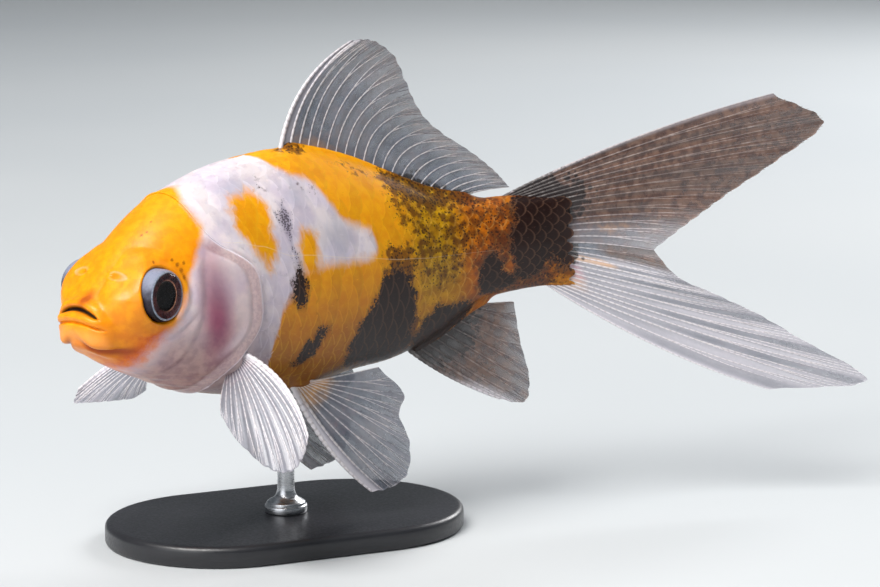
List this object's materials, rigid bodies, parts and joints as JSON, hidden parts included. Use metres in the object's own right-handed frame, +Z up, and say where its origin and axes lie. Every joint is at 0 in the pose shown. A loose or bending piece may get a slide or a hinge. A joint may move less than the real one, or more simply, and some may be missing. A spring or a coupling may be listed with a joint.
{
  "type": "calico shubunkin goldfish model",
  "caption": "Life-size still model of a single-tailed calico goldfish in a gentle swimming bend, held over a flat oval base by a short rod.",
  "frame": {"origin": "centre of the stand base's underside, straight below the rod", "axes": "-X towards the fish's head and +X towards its tail, -Y towards the fish's left side, +Z up"},
  "size_m": [0.1224, 0.0435, 0.0688],
  "materials": {
    "head_skin": "wet orange-yellow skin, painted resin",
    "lip_skin": "pale orange lips, painted resin",
    "gill_skin": "pearly gill cover with a magenta flush, painted resin",
    "flank_scales": "white, yellow and black calico scales, painted resin",
    "tail_scales": "black and orange calico scales, painted resin",
    "eye": "black pupil, dark brown iris and clear dome",
    "clear_fin": "translucent milky fin with white rays",
    "smoky_fin": "translucent smoky brown fin with dark rays",
    "stand_base": "satin black",
    "stand_rod": "brushed"
  },
  "bodies": {
    "root": {"head": "head_skin", "upper_lip": "lip_skin", "lower_jaw": "lip_skin", "gill_cover_left": "gill_skin", "gill_cover_right": "gill_skin", "trunk": "flank_scales", "tail_stalk": "tail_scales", "eye_left": "eye", "eye_right": "eye", "dorsal_fin": "clear_fin", "caudal_fin_upper": "smoky_fin", "caudal_fin_lower": "clear_fin", "anal_fin": "smoky_fin", "pectoral_fin_left": "clear_fin", "pectoral_fin_right": "clear_fin", "pelvic_fin_left": "clear_fin", "pelvic_fin_right": "clear_fin", "stand_base": "stand_base", "stand_rod": "stand_rod"}
  },
  "joints": []
}
